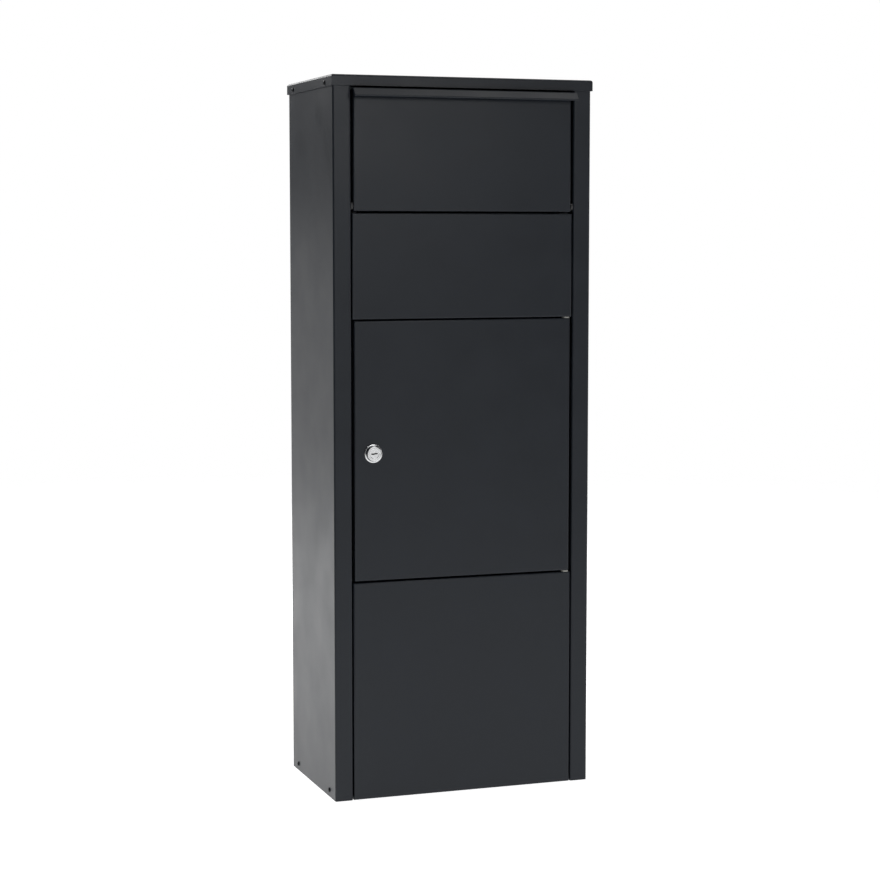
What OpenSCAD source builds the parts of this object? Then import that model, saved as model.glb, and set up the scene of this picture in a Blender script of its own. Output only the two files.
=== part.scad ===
// Free-standing parcel locker of folded sheet steel: a tip-out parcel drawer above a hidden tray,
// and a lockable door to the compartment that the parcels drop into.
// Frame: X to the right, -Y towards the front, +Z up; the origin is the centre of the footprint.

/* [Cabinet] */
// Width over the side panels
body_w = 378; // [315:1:460]
// Depth over the side panels
body_d = 220; // [183:1:270]
// Height from the floor to the top of the cover
body_h = 1000; // [830:1:1250]
// Thickness of the cabinet's sheet steel
sheet = 1.5; // [1:0.1:2]
// Inside radius of the bends
bend_r = 1; // [0.6:0.1:1.5]
// Width of the flanges along the rear edges of the side panels
rear_flange = 20; // [15:1:30]

/* [Cover] */
// Height of the cover's skirt
cover_skirt = 15; // [12:0.5:25]
// How far the cover stands out beyond the body on each side
cover_overhang = 2; // [1.8:0.1:5]
// Outside radius of the cover's top edges
cover_r = 3; // [2:0.25:5]

/* [Front] */
// Width of the two front columns
column_w = 25.5; // [22:0.5:35]
// Depth of the columns' inner returns, to the rear of the stop flange
column_depth = 19; // [17:0.5:26]
// Width of the stop flange behind the opening
stop_flange = 13.5; // [12:0.5:16]
// Depth of the folded edges of the door, the drawer front and the fixed panels
edge_depth = 12; // [11:0.25:14]
// Outside radius of the panels' folded edges
edge_r = 2; // [1.6:0.1:3]
// Seam between a fixed panel and the columns
fixed_seam = 1.8; // [0.8:0.1:3]
// Width of the fixed panels' flanges that are riveted behind
fixed_flange = 10.5; // [9:0.5:11]
// Height of the fixed panel that hides the drawer's tray
middle_h = 144.6; // [110:0.1:180]
// Gap below the drawer
drawer_gap = 2.8; // [2.4:0.1:4]
// Gap above the door
door_top_gap = 2; // [1.6:0.1:4]
// Gap below the door
door_bottom_gap = 2.5; // [2:0.1:4]

/* [Parcel drawer] */
// Height of the drawer front
drawer_h = 164; // [136:0.5:200]
// Gap between the drawer front and each column
drawer_seam = 4; // [3:0.1:6]
// Gap between the cover's skirt and the grip
grip_gap = 3; // [2:0.25:6]
// How far the drawer tips out, which is also the slope of its tray, in degrees
drawer_open = 45; // [38:1:46]
// Height of the drawer's axle above its lower edge
drawer_axle_up = 7; // [6.8:0.1:9]
// Gap between the open tray and the back panel
tray_back_gap = 20; // [12:1:40]
// Gap between the cheeks and the stop flanges
cheek_gap = 4; // [3:0.5:8]
// Radius of the drawer's pivot pins
drawer_pin_r = 3; // [2:0.25:3.5]
// How far the grip's upper edge stands out in front of the columns
grip_out = 11.4; // [9:0.1:16]
// How far the grip's nose stands out in front of the columns
grip_nose_out = 20; // [18:0.5:26]
// Drop from the grip's top to the middle of its nose
grip_drop = 9; // [6:0.5:12]

/* [Door] */
// Height of the door
door_h = 359.5; // [300:0.5:430]
// Gap between the door and each column
door_seam = 4; // [3:0.1:6]
// Radius of the door's hinge pins
door_pin_r = 2.5; // [1.8:0.1:2.5]

/* [Lock] */
// Distance of the lock from the door's free edge
lock_from_edge = 26.7; // [24:0.1:32]
// Height of the lock above the door's lower edge
lock_up = 177; // [120:1:200]
// Radius of the lock's seat on the door
lock_seat_r = 12.8; // [11:0.1:15]
// Radius of the lock's face
lock_face_r = 10.2; // [9:0.1:11]
// How far the lock stands out of the door
lock_proud = 6; // [4:0.25:9]
// Radius of the lock's threaded barrel
barrel_r = 9.5; // [8.5:0.1:9.8]
// Radius of the turning rotor
rotor_r = 6.5; // [5.8:0.1:7.5]
// Length of the cam from the rotor's axis
cam_reach = 30; // [26:0.5:31]

/* [Fixings] */
// Height of the cover screws below the top, and of the base screws above the floor
screw_edge = 10; // [9:0.25:11]
// Distance of the side screws from the front and rear faces
screw_inset = 30.5; // [28:0.5:45]
// Radius of a side screw's head
screw_head_r = 3.4; // [2.8:0.1:4]
// Radius of the floor anchor holes
anchor_r = 4.5; // [3:0.25:6]
// Spacing of the floor anchor holes along the width
anchor_x = 280; // [200:1:290]
// Spacing of the floor anchor holes along the depth
anchor_y = 130; // [90:1:134]
// Radius of the wall-fixing holes
wall_hole_r = 4; // [3:0.25:6]
// Spacing of the wall-fixing holes along the width
wall_x = 260; // [180:1:270]
// Spacing of the wall-fixing holes along the height
wall_z = 700; // [400:1:720]

/* [Hidden] */
$fn = 48;

// Finishes
anthracite = "#3b3d41";
anthracite_light = "#46484d";
black_zinc = "#1d1e20";
zinc = "#b4b7ba";
chrome = "#d6d8da";
nylon = "#d9d8d2";
black_rubber = "#161617";

// Clearances
cut = 1;                 // how far a cutting tool runs past the metal
slip = 0.05;             // radial clearance of a pin in its bush, and of a shank in its hole
assembly_gap = 0.2;      // clearance between sheets that are screwed or riveted side by side
rest_gap = 0.3;          // clearance between a stop and what rests on it

// Levels, from the cover down to the floor
cover_under = body_h - sheet;
side_top = cover_under - bend_r;
lip_z = body_h - cover_skirt;
grip_top = lip_z - grip_gap;
drawer_top = grip_top - sheet;
drawer_bottom = drawer_top - drawer_h;
middle_top = drawer_bottom - drawer_gap;
middle_bottom = middle_top - middle_h;
door_top = middle_bottom - door_top_gap;
door_bottom = door_top - door_h;
lower_top = door_bottom - door_bottom_gap;
back_inner = body_d / 2 - 2 * sheet;

// Planes and widths
front_y = -body_d / 2;
side_inner = body_w / 2 - sheet;
back_w = 2 * (side_inner - bend_r - assembly_gap);
opening = body_w - 2 * column_w;
stop_front = front_y + column_depth - sheet;
stop_rear = front_y + column_depth;
stop_x = opening / 2 - stop_flange;
fixed_w = opening - 2 * fixed_seam;
door_w = opening - 2 * door_seam;
drawer_w = opening - 2 * drawer_seam;
axle_depth = edge_depth / 2;
axle_y = front_y + axle_depth;
floor_front = stop_rear + rest_gap;
floor_rear = back_inner - rest_gap;

// Compartment floor and door
floor_drop = 18;         // depth of the compartment floor's front and rear flanges
bracket_leg = 15;
bracket_inset = 14;      // from the floor's front and rear edges to the ends of its brackets
door_collar_out = 0.5;   // how far a hinge pin's collar stands out beyond the pin
door_hinge_in = sheet + door_pin_r + door_collar_out; // from the door's hinged edge to its axis

// Drawer
drawer_axle_z = drawer_bottom + drawer_axle_up;
cheek_x = stop_x - cheek_gap;
tray_half = cheek_x - sheet - assembly_gap;
tray_reach = back_inner - tray_back_gap - axle_y;
tray_lift = 2.8;         // height of the tray's upper face over the axle, square to the tray
tray_root_top = 2 * sheet - drawer_axle_up; // upper face of the tray's level front flange, about the axle
tray_start = (tray_lift * cos(drawer_open) - tray_root_top) / sin(drawer_open); // where the slope begins
tray_flange = 12;        // height of the tray's side flanges
tray_lip = 9;            // depth of the tray's rear lip
swing_top = cover_under - drawer_axle_z - 8;
swing_front = lip_z - drawer_axle_z - 3;
cheek_top = drawer_h - drawer_axle_up - sheet - 3;
stop_y = column_depth - axle_depth + 1.1;   // the stop tabs, behind the axle with the drawer open
stop_tab = 11;           // width of the cheeks' stop tabs
stop_tab_h = 24;
grip_w = opening - 1;    // the grip spans the opening
grip_back = edge_depth - 1;

// Fasteners
rivet_r = 1.6;
rivet_head_r = 3.2;
rivet_head_h = 1;
screw_r = 1.9;
screw_l = 9;
screw_head_h = 1.8;
bumper_r = 4.5;
bumper_in = 2;           // from the edge of the door or drawer to the middle of a bumper
bumper_end = 40;         // from the ends of the door to its bumpers
bush_wall = 1.1;
bush_flange_r = 5.5;

// Lock
lock_x = -door_w / 2 + lock_from_edge;
lock_z = door_bottom + lock_up;
lock_seat_h = 1.5;
barrel_end = stop_rear - 0.2;
cam_front = stop_rear + rest_gap;
cam_t = 2.5;
cam_w = 16;
tenon = 7;
lock_nut_af = 24;
lock_nut_t = 4;
keyway_l = 9.2;
keyway_w = 2.4;
rotor_recess = 0.3;      // how deep the rotor's face lies in the lock's face
cam_screw_r = 2;
cam_screw_l = 10;
cam_screw_head_r = 4.5;
cam_screw_head_h = 2.6;
spindle_l = cam_screw_l - cam_t + 1.5;
rotor_l = cam_front - front_y - spindle_l + lock_proud - rotor_recess; // its keyed front part

// ---------- sheet metal ----------

// One straight run of a folded strip, between two points on its centre line
module strip_run(a, b) {
    along_x = a[1] == b[1];
    translate([min(a[0], b[0]) - (along_x ? 0 : sheet / 2), min(a[1], b[1]) - (along_x ? sheet / 2 : 0)])
        square([abs(a[0] - b[0]) + (along_x ? 0 : sheet), abs(a[1] - b[1]) + (along_x ? sheet : 0)]);
}

// The quarter-round bend at corner p, from direction u into direction v
module strip_bend(p, u, v) {
    mid_r = bend_r + sheet / 2;
    outer = bend_r + sheet;
    translate([p[0] + (v[0] - u[0]) * mid_r, p[1] + (v[1] - u[1]) * mid_r])
        intersection() {
            difference() {
                circle(outer);
                circle(bend_r);
            }
            translate([min(u[0] - v[0], 0) * outer, min(u[1] - v[1], 0) * outer]) square(outer);
        }
}

function heading(a, b) = [sign(b[0] - a[0]), sign(b[1] - a[1])];

// A strip of sheet folded along square corners, drawn flat: path is its centre line
module folded_strip(path) {
    mid_r = bend_r + sheet / 2;
    last = len(path) - 1;
    for (i = [0:last - 1]) {
        dir = heading(path[i], path[i + 1]);
        strip_run(path[i] + (i == 0 ? 0 : mid_r) * dir, path[i + 1] - (i + 1 == last ? 0 : mid_r) * dir);
    }
    for (i = [1:last - 1]) strip_bend(path[i], heading(path[i - 1], path[i]), heading(path[i], path[i + 1]));
}

// A rectangle w wide and d deep whose two corners at depth 0 are round
module round_front(w, d, r) {
    translate([-w / 2, r]) square([w, d - r]);
    translate([-w / 2 + r, 0]) square([w - 2 * r, r]);
    for (side = [-1, 1]) translate([side * (w / 2 - r), r]) circle(r);
}

// A block with a face at Y = 0 and round edges around that face
module pan_block(w, h, d, r) {
    intersection() {
        translate([0, 0, -h / 2]) linear_extrude(h) round_front(w, d, r);
        translate([-w / 2, 0, 0]) rotate([0, 90, 0]) linear_extrude(w) round_front(h, d, r);
    }
}

// A pan pressed from sheet: its face is at Y = 0 and its four edges are folded back to depth d
module pan(w, h, d, r) {
    inner_r = max(r - sheet, bend_r / 2);
    difference() {
        pan_block(w, h, d, r);
        translate([0, sheet, 0]) pan_block(w - 2 * sheet, h - 2 * sheet, d, inner_r);
    }
}

// A pan that stands in the front of the cabinet, from z0 up to z1
module front_pan(w, z0, z1) {
    translate([0, front_y, (z0 + z1) / 2]) pan(w, z1 - z0, edge_depth, edge_r);
}

// ---------- fasteners ----------

// A domed head that stands on the plane Z = 0
module domed_head(r, h) {
    cylinder(h / 2, r, r);
    translate([0, 0, h / 2]) cylinder(h / 2, r, r * 0.6);
}

// A blind rivet: its head on Z = 0, its shank down through grip of metal and its formed tail
module rivet(grip) {
    domed_head(rivet_head_r, rivet_head_h);
    translate([0, 0, -grip - rivet_r]) cylinder(grip + rivet_r, rivet_r, rivet_r);
    translate([0, 0, -grip - rivet_r]) cylinder(rivet_r, rivet_r * 1.4, rivet_r * 1.4);
}

// A pan-head screw with a cross recess: its head on Z = 0, its shank below
module side_screw() {
    difference() {
        domed_head(screw_head_r, screw_head_h);
        for (turn = [0, 90]) rotate([0, 0, turn])
            translate([0, 0, screw_head_h]) cube([screw_head_r, 0.7, screw_head_h], center = true);
    }
    translate([0, 0, -screw_l]) cylinder(screw_l, screw_r, screw_r);
}

// A hole for a shank of radius r along Z, through to both sides
module shank_hole(r, l) {
    translate([0, 0, -l / 2]) cylinder(l, r + slip, r + slip);
}

// A flanged bush: its flange on Z = 0 up to flange_h, its sleeve below
module bush(pin_r, flange_h) {
    sleeve_l = sheet + 2;
    difference() {
        union() {
            cylinder(flange_h, bush_flange_r, bush_flange_r);
            translate([0, 0, -sleeve_l]) cylinder(sleeve_l + flange_h / 2, pin_r + bush_wall, pin_r + bush_wall);
        }
        translate([0, 0, -sleeve_l - cut])
            cylinder(sleeve_l + flange_h + 2 * cut, pin_r + slip, pin_r + slip);
    }
}

// ---------- cabinet ----------

// The places of the side screws along the depth
module at_side_screws(x, z) {
    for (end = [-1, 1])
        translate([x, end * (body_d / 2 - screw_inset), z]) rotate([0, 90, 0]) children();
}

// The right-hand side panel: wall, rear flange, front column, its return and the stop flange
module side_panel() {
    half = sheet / 2;
    wall = body_w / 2 - half;
    rear = body_d / 2 - half;
    front = front_y + half;
    inner = opening / 2 + half;
    difference() {
        linear_extrude(side_top) folded_strip([
            [body_w / 2 - rear_flange, rear], [wall, rear], [wall, front],
            [inner, front], [inner, stop_rear - half], [stop_x, stop_rear - half]
        ]);
        at_side_screws(body_w / 2, screw_edge) shank_hole(screw_r, 4 * sheet);
        at_side_screws(body_w / 2, body_h - screw_edge) shank_hole(screw_r, 4 * sheet);
        translate([inner, axle_y, drawer_axle_z]) rotate([0, 90, 0])
            shank_hole(drawer_pin_r + bush_wall, 4 * sheet);
        at_back_rivets() shank_hole(rivet_r, 6 * sheet);
        at_front_rivets() shank_hole(rivet_r, 4 * sheet);
    }
}

module right_side_panel() { color(anthracite) side_panel(); }

module left_side_panel() { color(anthracite_light) mirror([1, 0, 0]) side_panel(); }

// Each rivet along the right-hand rear flange, its axis along +Y
module at_back_rivets() {
    count = 5;
    for (i = [0:count - 1])
        translate([
            body_w / 2 - rear_flange / 2 - sheet / 2, body_d / 2,
            side_top * (0.06 + 0.88 * i / (count - 1))
        ]) rotate([-90, 0, 0]) children();
}

// Each rivet along the right-hand stop flange, its axis along +Y: two for each fixed panel
module at_front_rivets() {
    for (z = [
        lower_top * 0.13, lower_top * 0.87,
        middle_bottom + middle_h * 0.2, middle_bottom + middle_h * 0.75
    ]) translate([stop_x + fixed_flange / 2 + 1, stop_rear, z]) rotate([-90, 0, 0]) children();
}

// The back panel lies inside the side panels' rear flanges
module back_panel() {
    color(anthracite) difference() {
        translate([-back_w / 2, back_inner, 0]) cube([back_w, sheet, side_top]);
        for (side = [0, 1]) mirror([side, 0, 0]) at_back_rivets() shank_hole(rivet_r, 6 * sheet);
        for (x = [-1, 1], z = [-1, 1])
            translate([x * wall_x / 2, back_inner + sheet / 2, body_h / 2 + z * wall_z / 2])
                rotate([90, 0, 0]) translate([0, 0, -sheet]) cylinder(2 * sheet, wall_hole_r, wall_hole_r);
    }
}

module top_cover() {
    w = body_w + 2 * cover_overhang;
    d = body_d + 2 * cover_overhang;
    color(anthracite_light) difference() {
        translate([0, 0, body_h]) rotate([-90, 0, 0]) pan(w, d, cover_skirt, cover_r);
        for (side = [-1, 1]) at_side_screws(side * w / 2, body_h - screw_edge) shank_hole(screw_r, 4 * sheet);
    }
}

module base_plate() {
    w = 2 * (side_inner - assembly_gap);
    d = floor_rear - floor_front;
    mid = (floor_rear + floor_front) / 2;
    height = 2 * screw_edge;
    color(anthracite) difference() {
        translate([0, mid, 0]) rotate([90, 0, 0]) pan(w, d, height, bend_r + sheet);
        for (x = [-1, 1], y = [-1, 1])
            translate([x * anchor_x / 2, y * anchor_y / 2, -cut])
                cylinder(sheet + 2 * cut, anchor_r, anchor_r);
        for (side = [-1, 1]) at_side_screws(side * w / 2, screw_edge) shank_hole(screw_r, 4 * sheet);
    }
}

// Each rivet that holds the floor to its brackets, its axis along +Z
module at_floor_rivets() {
    for (x = [-1, 1], y = [0.2, 0.8])
        translate([
            x * (side_inner - bracket_leg * 0.6),
            floor_front + (floor_rear - floor_front) * y, lower_top
        ]) children();
}

module compartment_floor() {
    half = sheet / 2;
    w = 2 * (side_inner - assembly_gap);
    top = lower_top - half;
    color(anthracite) difference() {
        translate([-w / 2, 0, 0]) rotate([90, 0, 90]) linear_extrude(w) folded_strip([
            [floor_front + half, lower_top - floor_drop], [floor_front + half, top],
            [floor_rear - half, top], [floor_rear - half, lower_top - floor_drop]
        ]);
        at_floor_rivets() shank_hole(rivet_r, 6 * sheet);
    }
}

module floor_brackets() {
    half = sheet / 2;
    top = lower_top - sheet - half;
    l = floor_rear - floor_front - 2 * bracket_inset;
    color(zinc) for (side = [0, 1]) mirror([side, 0, 0]) difference() {
        translate([0, floor_rear - bracket_inset, 0]) rotate([90, 0, 0]) linear_extrude(l) folded_strip([
            [side_inner - bracket_leg, top], [side_inner - half, top], [side_inner - half, top - bracket_leg]
        ]);
        at_floor_rivets() shank_hole(rivet_r, 8 * sheet);
    }
}

module floor_rivets() { color(zinc) at_floor_rivets() rivet(2 * sheet); }

// A fixed front panel: a pan whose side folds run on back to flanges against the stop flanges
module fixed_panel(z0, z1) {
    difference() {
        union() {
            front_pan(fixed_w, z0, z1);
            for (side = [0, 1]) mirror([side, 0, 0]) {
                translate([fixed_w / 2 - sheet, front_y + edge_depth / 2, z0 + edge_r])
                    cube([sheet, column_depth - sheet - edge_depth / 2, z1 - z0 - 2 * edge_r]);
                translate([fixed_w / 2 - fixed_flange, stop_front - sheet, z0 + edge_r])
                    cube([fixed_flange, sheet, z1 - z0 - 2 * edge_r]);
            }
        }
        for (side = [0, 1]) mirror([side, 0, 0]) at_front_rivets() shank_hole(rivet_r, 8 * sheet);
    }
}

// The door's hinge axis, at height z
module at_door_axis(z) {
    translate([door_w / 2 - door_hinge_in, axle_y, z]) children();
}
module middle_front_panel() {
    color(anthracite) difference() {
        fixed_panel(middle_bottom, middle_top);
        at_door_axis(middle_bottom) shank_hole(door_pin_r + bush_wall, 4 * sheet);
    }
}

module lower_front_panel() {
    color(anthracite) difference() {
        fixed_panel(0, lower_top);
        at_door_axis(lower_top) shank_hole(door_pin_r + bush_wall, 4 * sheet);
    }
}

module cover_screws() {
    color(black_zinc) for (side = [0, 1]) mirror([side, 0, 0])
        at_side_screws(body_w / 2 + cover_overhang, body_h - screw_edge) side_screw();
}

module base_screws() {
    color(black_zinc) for (side = [0, 1]) mirror([side, 0, 0])
        at_side_screws(body_w / 2, screw_edge) side_screw();
}

module back_panel_rivets() {
    color(zinc) for (side = [0, 1]) mirror([side, 0, 0]) at_back_rivets() rivet(2 * sheet);
}

module front_panel_rivets() {
    color(zinc) for (side = [0, 1]) mirror([side, 0, 0]) at_front_rivets() rivet(2 * sheet);
}

// ---------- parcel drawer ----------

// The drawer's axle: children are placed about it
module at_drawer_axle() { translate([0, axle_y, drawer_axle_z]) children(); }

// The tray's own frame: along +Y down the slope
module at_tray() { at_drawer_axle() rotate([-drawer_open, 0, 0]) children(); }

module drawer_front() {
    color(anthracite_light) difference() {
        front_pan(drawer_w, drawer_bottom, drawer_top);
        for (side = [-1, 1]) at_drawer_axle() translate([side * drawer_w / 2, 0, 0])
            rotate([0, 90, 0]) shank_hole(drawer_pin_r, 4 * sheet);
        at_grip_screws() shank_hole(rivet_r, 6 * sheet);
    }
}

// Each screw that holds the grip, from below, its axis along -Z
module at_grip_screws() {
    for (x = [-0.4, 0, 0.4])
        translate([x * drawer_w, axle_y, drawer_top - sheet]) rotate([180, 0, 0]) children();
}

// The grip's section, drawn in Y and Z from the front plane: a flange, a slope and a round nose
module grip_section() {
    nose_r = sheet;
    slope_len = norm([grip_nose_out - nose_r - grip_out, grip_drop]);
    slope_angle = atan2(grip_drop, grip_nose_out - nose_r - grip_out);
    translate([-grip_out, 0]) square([grip_out + grip_back, sheet]);
    translate([-grip_out, sheet / 2]) {
        circle(sheet / 2);
        rotate(180 + slope_angle) translate([0, -sheet / 2]) square([slope_len, sheet]);
        rotate(180 + slope_angle) translate([slope_len, nose_r - sheet / 2]) circle(nose_r);
    }
}

module drawer_grip() {
    color(anthracite_light) difference() {
        translate([-grip_w / 2, front_y, drawer_top]) rotate([90, 0, 90]) linear_extrude(grip_w)
            grip_section();
        at_grip_screws() shank_hole(rivet_r, 8 * sheet);
        // notches that let the flange pass between the columns
        for (side = [0, 1]) mirror([side, 0, 0])
            translate([drawer_w / 2, front_y - 1, drawer_top - cut])
                cube([drawer_seam, edge_depth + cut, sheet + 2 * cut]);
    }
}

module grip_screws() {
    color(zinc) at_grip_screws() {
        domed_head(rivet_head_r, 2 * rivet_head_h);
        translate([0, 0, -1.8 * sheet]) cylinder(1.8 * sheet, rivet_r, rivet_r);
    }
}

// The cheek's outline about the axle, in Y and Z
module cheek_outline() {
    front = sheet - axle_depth;
    bottom = sheet - drawer_axle_up + bend_r;
    top_y = sqrt(pow(swing_front, 2) - pow(cheek_top, 2));
    stop_corner = turned([stop_y, swing_top]);
    tray_end = turned([tray_reach, tray_lift]);
    tray_root = turned([tray_start, tray_lift]);
    polygon([[front, bottom], [front, cheek_top], [top_y, cheek_top], stop_corner, tray_end, tray_root]);
}

// A point of the open drawer's side view, turned back to the closed drawer
function turned(p) = [
    p[0] * cos(drawer_open) + p[1] * sin(drawer_open),
    p[1] * cos(drawer_open) - p[0] * sin(drawer_open)
];

// The right-hand cheek: its web, its front flange and its stop tab
module cheek() {
    web = cheek_x - sheet;
    flange = drawer_w / 2 - sheet - bend_r - web;
    difference() {
        union() {
            at_drawer_axle() translate([web, 0, 0]) rotate([90, 0, 90]) linear_extrude(sheet) cheek_outline();
            at_drawer_axle() translate([web, sheet - axle_depth, bush_flange_r])
                cube([flange, sheet, cheek_top - bush_flange_r]);
            at_tray() translate([web, stop_y, swing_top - stop_tab_h])
                cube([sheet + stop_tab, sheet, stop_tab_h]);
        }
        at_tray_rivets() shank_hole(rivet_r, 8 * sheet);
    }
}

module drawer_right_cheek() { color(anthracite) cheek(); }

module drawer_left_cheek() { color(anthracite) mirror([1, 0, 0]) cheek(); }

// Each rivet from the right-hand cheek into the tray's side flange, its axis along +X
module at_tray_rivets() {
    for (share = [0.3, 0.75])
        at_tray() translate([cheek_x, tray_reach * share, tray_lift + tray_flange / 2])
            rotate([0, 90, 0]) children();
}

// The tray: a slope from the drawer's lower edge, its side flanges, its rear lip and its front flange
module drawer_tray() {
    flange_y = sheet - axle_depth + bend_r;
    flange_z = tray_root_top - sheet;
    slope_under = tray_lift - sheet;
    root_under_y = (slope_under - flange_z * cos(drawer_open)) / sin(drawer_open);
    color(anthracite) difference() {
        union() {
            at_drawer_axle() translate([-tray_half, 0, 0]) rotate([90, 0, 90]) linear_extrude(2 * tray_half)
                polygon([
                    [flange_y, flange_z], [root_under_y, flange_z], turned([tray_reach, slope_under]),
                    turned([tray_reach, tray_lift]), turned([tray_start, tray_lift]), [flange_y, tray_root_top]
                ]);
            at_tray() {
                translate([-tray_half, tray_reach - sheet, tray_lift - tray_lip])
                    cube([2 * tray_half, sheet, tray_lip]);
                for (side = [0, 1]) mirror([side, 0, 0])
                    translate([tray_half - sheet, 2 * tray_start, tray_lift - sheet])
                        cube([sheet, tray_reach - 2 * tray_start, tray_flange + sheet]);
            }
        }
        for (side = [0, 1]) mirror([side, 0, 0]) at_tray_rivets() shank_hole(rivet_r, 8 * sheet);
    }
}

module drawer_rivets() {
    color(zinc) for (side = [0, 1]) mirror([side, 0, 0]) at_tray_rivets() rivet(2 * sheet + assembly_gap);
}

// The pins run from inside the drawer's side folds out through the columns' returns
module drawer_pivot_pins() {
    head = 2;
    color(zinc) for (side = [0, 1]) mirror([side, 0, 0])
        at_drawer_axle() translate([drawer_w / 2 - sheet, 0, 0]) rotate([0, 90, 0]) {
            translate([0, 0, -head]) cylinder(head, drawer_pin_r + 1, drawer_pin_r + 1);
            cylinder(drawer_seam + 2 * sheet + 3, drawer_pin_r, drawer_pin_r);
        }
}

module drawer_pivot_bushes() {
    color(nylon) for (side = [0, 1]) mirror([side, 0, 0])
        at_drawer_axle() translate([opening / 2, 0, 0]) rotate([0, -90, 0])
            bush(drawer_pin_r, drawer_seam - 0.5);
}

// A rubber stop on the front face of the stop flange
module bumper(x, z) {
    l = stop_front - (front_y + edge_depth) - rest_gap;
    translate([x, stop_front, z]) rotate([90, 0, 0]) {
        cylinder(l - 1, bumper_r, bumper_r);
        translate([0, 0, l - 1]) cylinder(1, bumper_r, bumper_r - 1);
    }
}

module drawer_bumpers() {
    color(black_rubber) for (side = [-1, 1])
        bumper(side * (drawer_w / 2 - bumper_in), drawer_top - bumper_end);
}

// ---------- door and lock ----------

module door_panel() {
    color(anthracite) difference() {
        front_pan(door_w, door_bottom, door_top);
        for (z = [door_bottom, door_top]) at_door_axis(z) shank_hole(door_pin_r, 4 * sheet);
        at_lock(front_y) translate([0, 0, -cut]) cylinder(sheet + 2 * cut, barrel_r + slip, barrel_r + slip);
    }
}

// The pins run from inside the door's folds into the fixed panels above and below
module door_hinge_pins() {
    collar = 2;
    reach = 2 * sheet + 3;
    color(zinc) {
        at_door_axis(door_top - sheet) {
            translate([0, 0, -collar]) cylinder(collar, door_pin_r + door_collar_out, door_pin_r + door_collar_out);
            cylinder(door_top_gap + reach, door_pin_r, door_pin_r);
        }
        at_door_axis(door_bottom + sheet) mirror([0, 0, 1]) {
            translate([0, 0, -collar]) cylinder(collar, door_pin_r + door_collar_out, door_pin_r + door_collar_out);
            cylinder(door_bottom_gap + reach, door_pin_r, door_pin_r);
        }
    }
}

module door_hinge_bushes() {
    color(nylon) {
        at_door_axis(middle_bottom) mirror([0, 0, 1]) bush(door_pin_r, door_top_gap - rest_gap);
        at_door_axis(lower_top) bush(door_pin_r, door_bottom_gap - rest_gap);
    }
}

module door_bumpers() {
    color(black_rubber) for (z = [door_bottom + bumper_end, door_top - bumper_end])
        bumper(bumper_in - door_w / 2, z);
}

// The lock's axis at depth y: children are placed with +Z to the rear
module at_lock(y) { translate([lock_x, y, lock_z]) rotate([-90, 0, 0]) children(); }

module lock_housing() {
    bore_l = lock_proud + barrel_end - front_y + 2 * cut;
    color(chrome) at_lock(front_y) difference() {
        union() {
            translate([0, 0, -lock_seat_h]) cylinder(lock_seat_h, lock_seat_r, lock_seat_r);
            translate([0, 0, -lock_proud])
                cylinder(lock_proud - lock_seat_h, lock_face_r, (lock_face_r + lock_seat_r) / 2);
            cylinder(barrel_end - front_y, barrel_r, barrel_r);
        }
        translate([0, 0, -lock_proud - cut]) cylinder(bore_l, rotor_r + slip, rotor_r + slip);
    }
}

module lock_nut() {
    color(zinc) at_lock(front_y + sheet) difference() {
        cylinder(lock_nut_t, lock_nut_af / sqrt(3), lock_nut_af / sqrt(3), $fn = 6);
        translate([0, 0, -cut]) cylinder(lock_nut_t + 2 * cut, barrel_r + slip, barrel_r + slip);
    }
}

// The keyed front part of the rotor, slotted all through for the key
module lock_rotor() {
    color(chrome) at_lock(front_y - lock_proud + rotor_recess) linear_extrude(rotor_l) difference() {
        circle(rotor_r);
        square([keyway_l, keyway_w], center = true);
    }
}

// The rear part of the rotor, which carries the cam on its square end
module lock_spindle() {
    color(chrome) at_lock(cam_front) difference() {
        union() {
            translate([0, 0, -spindle_l]) cylinder(spindle_l, rotor_r, rotor_r);
            translate([-tenon / 2, -tenon / 2, 0]) cube([tenon, tenon, cam_t]);
        }
        translate([0, 0, cam_t - cam_screw_l])
            cylinder(cam_screw_l + cut, cam_screw_r + slip, cam_screw_r + slip);
    }
}

// The cam hangs down with the lock open, and turns to point at the left-hand column
module lock_cam() {
    hole = tenon + 2 * slip;
    color(zinc) at_lock(cam_front) difference() {
        union() {
            cylinder(cam_t, cam_w / 2, cam_w / 2);
            translate([-cam_w / 2, 0, 0]) cube([cam_w, cam_reach - cam_w / 2, cam_t]);
            translate([0, cam_reach - cam_w / 2, 0]) cylinder(cam_t, cam_w / 2, cam_w / 2);
        }
        translate([-hole / 2, -hole / 2, -cut]) cube([hole, hole, cam_t + 2 * cut]);
    }
}

module cam_screw() {
    color(zinc) at_lock(cam_front + cam_t) difference() {
        union() {
            cylinder(cam_screw_head_h, cam_screw_head_r, cam_screw_head_r);
            translate([0, 0, 0.5 - cam_screw_l]) cylinder(cam_screw_l, cam_screw_r, cam_screw_r);
        }
        translate([0, 0, cam_screw_head_h]) for (turn = [0, 90]) rotate([0, 0, turn])
            cube([cam_screw_head_r, 1, cam_screw_head_h], center = true);
    }
}

left_side_panel();
right_side_panel();
back_panel();
top_cover();
base_plate();
compartment_floor();
floor_brackets();
middle_front_panel();
lower_front_panel();
cover_screws();
base_screws();
back_panel_rivets();
front_panel_rivets();
floor_rivets();
drawer_front();
drawer_grip();
grip_screws();
drawer_left_cheek();
drawer_right_cheek();
drawer_tray();
drawer_rivets();
drawer_pivot_pins();
drawer_pivot_bushes();
drawer_bumpers();
door_panel();
door_hinge_pins();
door_hinge_bushes();
door_bumpers();
lock_housing();
lock_nut();
lock_rotor();
lock_spindle();
lock_cam();
cam_screw();
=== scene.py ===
"""Looks of a free-standing parcel locker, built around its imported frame.

Every sub-assembly is a class: its sizes are dataclass fields in millimetres, and its methods build the meshes
of its pieces and dress them. Places come from the frame. A folded sheet starts as its outer face.
"""

from __future__ import annotations

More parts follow.
